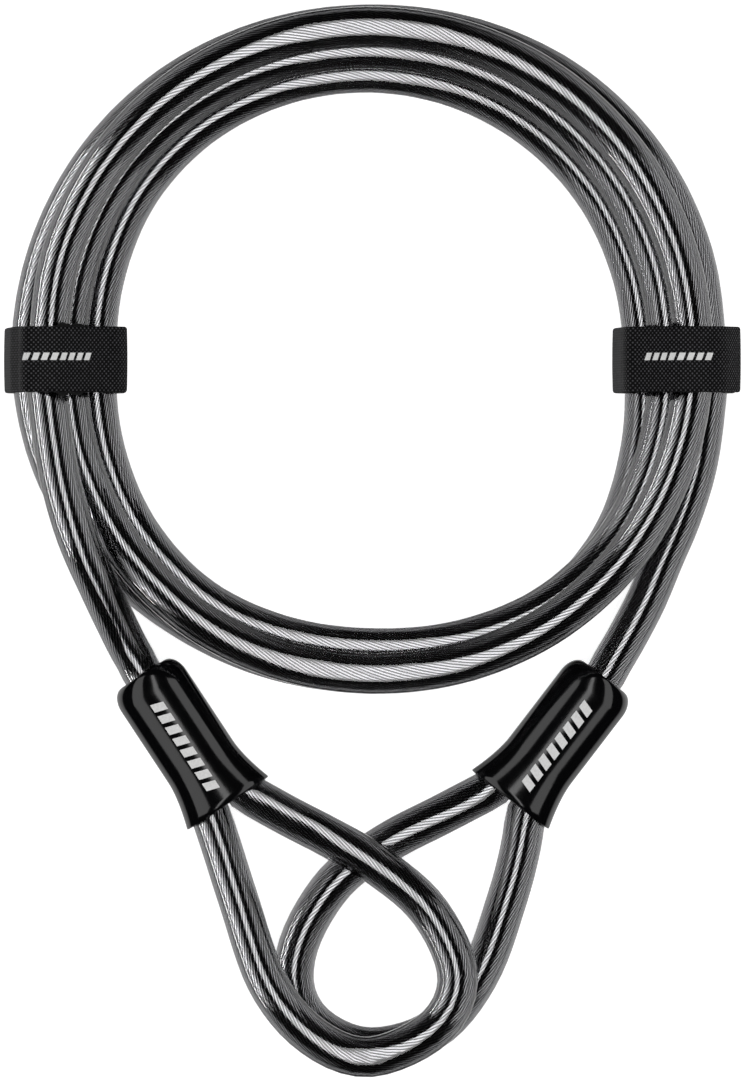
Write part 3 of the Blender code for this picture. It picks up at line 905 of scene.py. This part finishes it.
def printed_mark(name, surface, start, end, low, high, thickness, finish):
    """A row of slanted blocks of ink on a surface, which is a function of two
    distances that gives a point. The blocks run from start to end."""
    pitch = (end - start) / MARK_BLOCKS
    row = MARK_COLUMNS + 1
    layer = row * (MARK_ROWS + 1)
    last_row = layer - row
    rim = (list(range(row)) + list(range(2 * row - 1, layer, row))
           + list(range(layer - 2, last_row - 1, -1)) + list(range(last_row - row, 0, -row)))
    vertices, faces = [], []
    for block in range(MARK_BLOCKS):
        top, bottom = [], []
        for j in range(MARK_ROWS + 1):
            lift = j / MARK_ROWS
            v = low + (high - low) * lift
            for i in range(row):
                u = start + pitch * (block + MARK_FILL * i / MARK_COLUMNS
                                     + MARK_SLANT * (lift - 0.5))
                point = surface(u, v)
                normal = (surface(u + NORMAL_STEP, v) - point).cross(
                    surface(u, v + NORMAL_STEP) - point).normalized()
                if normal.z < 0:
                    normal.negate()
                top.append(point + normal * thickness)
                bottom.append(point - normal * thickness)
        first = len(vertices)
        vertices += top + bottom
        for j in range(MARK_ROWS):
            for i in range(MARK_COLUMNS):
                a = first + j * row + i
                b = a + layer
                faces.append((a, a + 1, a + row + 1, a + row))
                faces.append((b, b + row, b + row + 1, b + 1))
        for a, b in zip(rim, rim[1:] + rim[:1]):
            faces.append((first + a, first + a + layer, first + b + layer, first + b))
    return mesh_piece(name, vertices, faces, finish, sharp=40)


BOOT_MARK_ENDS = (7.9 * MM, 34.1 * MM)     # from the boot's coil end
BOOT_MARK_MIDDLES = ((RIGHT_BOOT, 1.0 * MM), (LEFT_BOOT, -1.0 * MM))
BOOT_MARK_HALF_HEIGHT = 1.6 * MM
BOOT_MARK_THICKNESS = 0.04 * MM


class CABLE_OT_boot_marks(bpy.types.Operator):
    """The white mark printed beside the middle of each boot"""
    bl_idname = "cable.boot_marks"
    bl_label = "Boot Marks"

    def execute(self, context):
        finish = screen_ink(context.scene.cable_boot)
        for boot, middle in BOOT_MARK_MIDDLES:
            piece = printed_mark(
                boot.side + "_boot_mark", lambda u, v: boot_surface(boot, u, v),
                *BOOT_MARK_ENDS, middle - BOOT_MARK_HALF_HEIGHT,
                middle + BOOT_MARK_HALF_HEIGHT, BOOT_MARK_THICKNESS, finish)
            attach(piece, "root")
        return {"FINISHED"}


class CABLE_OT_ferrules(bpy.types.Operator):
    """The finish of the pressed ferrules inside the boots"""
    bl_idname = "cable.ferrules"
    bl_label = "Ferrules"

    def execute(self, context):
        finish = crimped_alloy()
        for side in ("right", "left"):
            ferrule = frame["nodes"][side + "_ferrule"]
            for place in ferrule.material_slots:
                place.material = finish
        return {"FINISHED"}


EDGE_POINTS = 5
FACE_POINTS = 8


def strip_section(half_width, thickness, crown):
    """Distance across and height of the points round a strip's section: one rounded
    edge, the face, the other edge and the underside."""
    round_edge = thickness / 2
    flat = half_width - round_edge
    section = []
    for side in (1, -1):
        for k in range(EDGE_POINTS):
            turn = math.radians(-90 * side + 180 * k / (EDGE_POINTS - 1))
            section.append((side * flat + round_edge * math.cos(turn),
                            round_edge + round_edge * math.sin(turn)))
        for k in range(1, FACE_POINTS):
            across = side * (flat - 2 * flat * k / FACE_POINTS)
            dome = thickness + crown * (1 - (across / flat) ** 2) if side == 1 else 0.0
            section.append((across, dome))
    return section


def outward(points, i):
    """The outward normal of a strap's line at one of its points."""
    along = (points[min(i + 1, len(points) - 1)] - points[max(i - 1, 0)]).normalized()
    return Vector((-along.z, 0.0, along.x))


def strip_piece(name, line, thickness, crown, finish, first=0.0, half_width=None):
    """A strip of fabric on a line, with its weave's place kept at each vertex."""
    points = evenly(line, WEB_STEP)
    vertices, weave = [], []
    distance = first
    for i, point in enumerate(points):
        if i:
            distance += (point - points[i - 1]).length
        reach = half_width(point) if half_width else STRAP_WIDTH / 2
        section = strip_section(reach, thickness, crown)
        up = outward(points, i)
        for across, height in section:
            vertices.append(point + Vector((0, across, 0)) + up * height)
            weave.append((distance, across, 0.0))
    piece = mesh_piece(name, vertices, rings_to_faces(len(points), len(section)), finish,
                       sharp=60)
    attribute = piece.data.attributes.new("weave", "FLOAT_VECTOR", "POINT")
    for item, value in zip(attribute.data, weave):
        item.vector = value
    return piece, distance


class CABLE_OT_straps(bpy.types.Operator):
    """The webbing of each strap: the loop round the bundle, and its free flap"""
    bl_idname = "cable.straps"
    bl_label = "Straps"

    def execute(self, context):
        values = context.scene.cable_strap
        finish = webbing(values)
        for strap in (RIGHT_STRAP, LEFT_STRAP):
            lines = strap.layers()
            band, reached = strip_piece(strap.side + "_strap_webbing", lines["band"],
                                        BAND_THICKNESS, values.crown, finish)
            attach(band, strap.bodies[0])
            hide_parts(strap.side + "_strap_band")
            flap, _ = strip_piece(strap.side + "_strap_flap_webbing", lines["flap"],
                                  BAND_THICKNESS, values.crown, finish, reached)
            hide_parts(strap.side + "_strap_flap")
            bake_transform(flap)
        return {"FINISHED"}


# Where the loop tape's edge swells past the webbing: distance from the coil's middle
# in mm, half the swelling's length in mm and how far it stands out in mm.
EDGE_LUMPS = {
    "left": [(-75.0, 1.2, 1.0), (-71.6, 1.5, 0.7)],
    "right": [(68.5, 1.3, 0.8), (74.4, 1.1, 0.9)],
}


HOOK_RADIUS = 0.28 * MM


class CABLE_OT_tapes(bpy.types.Operator):
    """The loop tape on each strap and the hook tape under its flap"""
    bl_idname = "cable.tapes"
    bl_label = "Hook and Loop Tapes"

    def execute(self, context):
        values = context.scene.cable_strap
        loops = tape("brushed nylon loop tape", "#050505", "#1C1C1D", 1.5 * PER_MM, 0.95)
        hooks = tape("moulded nylon hook tape", "#0A0A0A", "#202022", 0.9 * PER_MM, 0.5)
        studs = stud_tree()
        stud_height = PATCH_THICKNESS / 2
        for strap in (RIGHT_STRAP, LEFT_STRAP):
            lines = strap.layers()
            lumps = EDGE_LUMPS[strap.side]

            def swollen(point):
                swelling = sum(out * math.exp(-((point.x / MM - x) / half) ** 4)
                               for x, half, out in lumps)
                return STRAP_WIDTH / 2 + swelling * MM

            loop, _ = strip_piece(strap.side + "_loop_tape", lines["loop"], PATCH_THICKNESS,
                                  0.0, loops, half_width=swollen)
            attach(loop, strap.bodies[0])
            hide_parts(strap.side + "_strap_loop_patch")
            raised = [p + outward(lines["hook"], i) * stud_height
                      for i, p in enumerate(lines["hook"])]
            hook, _ = strip_piece(strap.side + "_hook_tape", raised,
                                  PATCH_THICKNESS - stud_height, 0.0, hooks)
            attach(hook, strap.bodies[1])
            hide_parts(strap.side + "_strap_hook_patch")
            sheet = self.underside(strap.side + "_hooks", raised, values.hook_pitch)
            piece = grown(sheet, studs, radius=HOOK_RADIUS, height=stud_height, finish=hooks)
            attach(piece, strap.bodies[1])
        return {"FINISHED"}

    def underside(self, name, line, pitch):
        """A sheet on the hook tape's face, with a vertex for each hook."""
        points = evenly(line, pitch)[1:-1]
        row = int((STRAP_WIDTH - pitch) / pitch) + 1
        vertices = [point + Vector((0, (c - (row - 1) / 2) * pitch, 0))
                    for point in points for c in range(row)]
        faces = [(a, a + 1, a + row + 1, a + row)
                 for r in range(len(points) - 1)
                 for a in range(r * row, r * row + row - 1)]
        mesh = bpy.data.meshes.new(name)
        mesh.from_pydata(vertices, [], faces)
        return link(bpy.data.objects.new(name, mesh))


STRAP_MARK_LEFT_ENDS = ((RIGHT_STRAP, 66.6 * MM), (LEFT_STRAP, -84.8 * MM))
STRAP_MARK_LENGTH = 16.4 * MM
STRAP_MARK_EDGES = (-0.25 * MM, 1.55 * MM)     # from the webbing's middle
STRAP_MARK_THICKNESS = 0.1 * MM


class CABLE_OT_strap_marks(bpy.types.Operator):
    """The white mark printed on each flap"""
    bl_idname = "cable.strap_marks"
    bl_label = "Strap Marks"

    def execute(self, context):
        finish = screen_ink(context.scene.cable_boot)
        crown = context.scene.cable_strap.crown
        for strap, left_end in STRAP_MARK_LEFT_ENDS:
            line = evenly(strap.layers()["flap"], WEB_STEP)
            top = [p + outward(line, i) * BAND_THICKNESS for i, p in enumerate(line)]
            step = line_length(line) / (len(line) - 1)
            first = next(i for i, p in enumerate(top) if p.x > left_end) * step

            def surface(distance, across):
                i = int(distance / step)
                point = top[i].lerp(top[i + 1], distance / step - i)
                dome = crown * (1 - (across / (STRAP_WIDTH / 2)) ** 2)
                return point + Vector((0, across, dome))

            piece = printed_mark(strap.side + "_strap_mark", surface, first,
                                 first + STRAP_MARK_LENGTH, *STRAP_MARK_EDGES,
                                 STRAP_MARK_THICKNESS, finish)
            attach(piece, strap.bodies[1])
        return {"FINISHED"}


# ---------------------------------------------------------------- studio

CAMERA_HEIGHT = 3.0
VIEW_HEIGHT = 263.4 * MM       # of the plane that the camera frames
VIEW_LEVEL = 18.0 * MM         # height of that plane, half way up the coil
SENSOR_HEIGHT = 36.0           # in millimetres, as a lens is
FARTHEST_SEEN = 50.0
LIGHT_DISTANCE = 1.6
FLOOR_RADIUS = 8.0
FLOOR_SIDES = 96
FLOOR_DROP = 0.05 * MM         # below the cable, so that the two don't touch
FLOOR_GLOW = 0.85
ROOM_GLOW = 1.05               # of the room's palest parts
ROOM_DARK = 0.015              # of the rest

# Each softbox: name, degrees from overhead towards +X at its two edges, degrees that
# it reaches along Y either way, radiance, and which pieces it is aimed at.
SOFTBOXES = [
    ("overhead_softbox", -12.0, 12.0, 48.0, 3.3, "cable"),
    ("left_panel", -80.0, -48.0, 35.0, 1.5, "cable"),
    ("left_strip", -89.5, -83.0, 38.0, 14.0, "cable"),
    ("right_panel", 58.0, 88.0, 35.0, 1.2, "cable"),
    ("overhead_boot_strip", -2.5, 2.5, 26.0, 3.4, "boot"),
    ("left_boot_panel", -50.0, -19.0, 27.0, 1.6, "boot"),
    ("right_boot_panel", 23.0, 48.0, 27.0, 1.6, "boot"),
    ("fabric_fill", -40.0, 40.0, 40.0, 1.4, "fabric"),
]
# The words in the names of the pieces that each group of softboxes is aimed at.
AIMS = {"cable": ("clear", "rope"), "boot": ("moulding",),
        "fabric": ("webbing", "tape", "hooks", "mark", "floor")}


class CABLE_OT_studio(bpy.types.Operator):
    """The floor, the camera straight above and the soft lights"""
    bl_idname = "cable.studio"
    bl_label = "Studio"

    def execute(self, context):
        self.add_camera(context.scene)
        self.add_floor()
        self.add_surroundings(context.scene)
        aimed_at = {name: self.gather(name, words) for name, words in AIMS.items()}
        for name, *place, aim in SOFTBOXES:
            softbox = self.add_softbox(name, *place)
            softbox.light_linking.receiver_collection = aimed_at[aim]
        context.scene.view_settings.view_transform = "Standard"
        return {"FINISHED"}

    def add_camera(self, scene):
        lens = bpy.data.cameras.new("camera")
        lens.sensor_fit = "VERTICAL"
        lens.sensor_height = SENSOR_HEIGHT
        lens.lens = SENSOR_HEIGHT * (CAMERA_HEIGHT - VIEW_LEVEL) / VIEW_HEIGHT
        lens.clip_end = FARTHEST_SEEN
        camera = link(bpy.data.objects.new("camera", lens))
        camera.location = (0.0, 0.0, CAMERA_HEIGHT)
        scene.camera = camera

    def add_floor(self):
        """A pale matt sheet. It glows, so the shadows on it stay faint. Gloss and clear
        plastic don't see it, but the dark room below it."""
        finish = grained_finish(
            "pale matt paper", (srgb("#EEEEEE"), srgb("#F6F6F6")), (0.9,), 0.3 * PER_MM, 2.0,
            {"Emission Color": (1.0, 1.0, 1.0, 1.0), "Emission Strength": FLOOR_GLOW})
        sheet = bpy.data.meshes.new("floor")
        outline = bmesh.new()
        bmesh.ops.create_circle(outline, cap_ends=True, radius=FLOOR_RADIUS,
                                segments=FLOOR_SIDES)
        outline.to_mesh(sheet)
        outline.free()
        sheet.materials.append(finish)
        floor = link(bpy.data.objects.new("floor", sheet))
        floor.location.z = -FLOOR_DROP
        floor.visible_glossy = False
        floor.visible_transmission = False

    def add_surroundings(self, scene):
        """A dark room, pale below the level of the table at its left and right and
        straight below the table."""
        world = bpy.data.worlds.new("dark room")
        world.use_nodes = True
        tree = world.node_tree
        tree.nodes.clear()
        place = add(tree, "ShaderNodeTexCoord")
        parts = add(tree, "ShaderNodeSeparateXYZ", {0: place.outputs["Generated"]})
        aside = add(tree, "ShaderNodeMath", {0: parts.outputs["X"]}, operation="ABSOLUTE")
        ramps = []
        for way, ends, glows in (
                (parts.outputs["Z"], (-0.3, -0.15), (1.0, 0.0)),
                (aside, (0.2, 0.7), (0.0, 1.0)),
                (parts.outputs["Z"], (-0.9, -0.8), (0.8, 0.0))):
            ramps.append(add(tree, "ShaderNodeMapRange", {
                "Value": way, "From Min": ends[0], "From Max": ends[1],
                "To Min": glows[0], "To Max": glows[1]}, clamp=True))
        low, beside, under = ramps
        sides = add(tree, "ShaderNodeMath", {0: low, 1: beside}, operation="MULTIPLY")
        pale = add(tree, "ShaderNodeMath", {0: sides, 1: under}, operation="MAXIMUM")
        glow = add(tree, "ShaderNodeMath", {0: pale, 1: ROOM_GLOW, 2: ROOM_DARK},
                   operation="MULTIPLY_ADD")
        light = add(tree, "ShaderNodeBackground", {
            "Color": (1.0, 1.0, 1.0, 1.0), "Strength": glow})
        add(tree, "ShaderNodeOutputWorld", {0: light})
        scene.world = world

    def gather(self, name, words):
        """A collection of the pieces that a group of softboxes is aimed at."""
        group = bpy.data.collections.new("lit for " + name)
        for piece in bpy.context.scene.objects:
            if any(word in piece.name for word in words):
                group.objects.link(piece)
        return group

    def add_softbox(self, name, near, far, reach, radiance):
        middle = math.radians((near + far) / 2)
        half = math.radians(abs(far - near) / 2)
        lamp = bpy.data.lights.new(name, "AREA")
        lamp.shape = "RECTANGLE"
        lamp.size = 2 * LIGHT_DISTANCE * math.tan(half)
        lamp.size_y = 2 * LIGHT_DISTANCE * math.tan(math.radians(reach))
        lamp.energy = radiance * math.pi * lamp.size * lamp.size_y
        softbox = link(bpy.data.objects.new(name, lamp))
        softbox.location = (LIGHT_DISTANCE * math.sin(middle), 0.0,
                            LIGHT_DISTANCE * math.cos(middle))
        softbox.rotation_euler = (0.0, middle, 0.0)
        softbox.visible_camera = False
        return softbox


OPERATORS = (CABLE_OT_sleeves, CABLE_OT_rope, CABLE_OT_boots, CABLE_OT_boot_marks,
             CABLE_OT_ferrules, CABLE_OT_straps, CABLE_OT_tapes, CABLE_OT_strap_marks,
             CABLE_OT_studio)


class CABLE_PT_panel(bpy.types.Panel):
    """Lists the sizes and the steps of the cable"""
    bl_idname = "CABLE_PT_panel"
    bl_label = "Looped Security Cable"
    bl_space_type = "VIEW_3D"
    bl_region_type = "UI"
    bl_category = "Cable"

    def draw(self, context):
        for name in SETTINGS:
            values = getattr(context.scene, name)
            for key in values.__annotations__:
                self.layout.prop(values, key)
        for operator in OPERATORS:
            self.layout.operator(operator.bl_idname)


SETTINGS = {
    "cable_rope": RopeSettings,
    "cable_sleeve": SleeveSettings,
    "cable_boot": BootSettings,
    "cable_strap": StrapSettings,
}


def register():
    for group in SETTINGS.values():
        bpy.utils.register_class(group)
    for name, group in SETTINGS.items():
        setattr(bpy.types.Scene, name, PointerProperty(type=group))
    for operator in (*OPERATORS, CABLE_PT_panel):
        bpy.utils.register_class(operator)


def unregister():
    for operator in (CABLE_PT_panel, *reversed(OPERATORS)):
        bpy.utils.unregister_class(operator)
    for name, group in SETTINGS.items():
        delattr(bpy.types.Scene, name)
        bpy.utils.unregister_class(group)


def main():
    register()
    for operator in OPERATORS:
        group, name = operator.bl_idname.split(".")
        getattr(getattr(bpy.ops, group), name)()


if __name__ == "__main__":
    main()
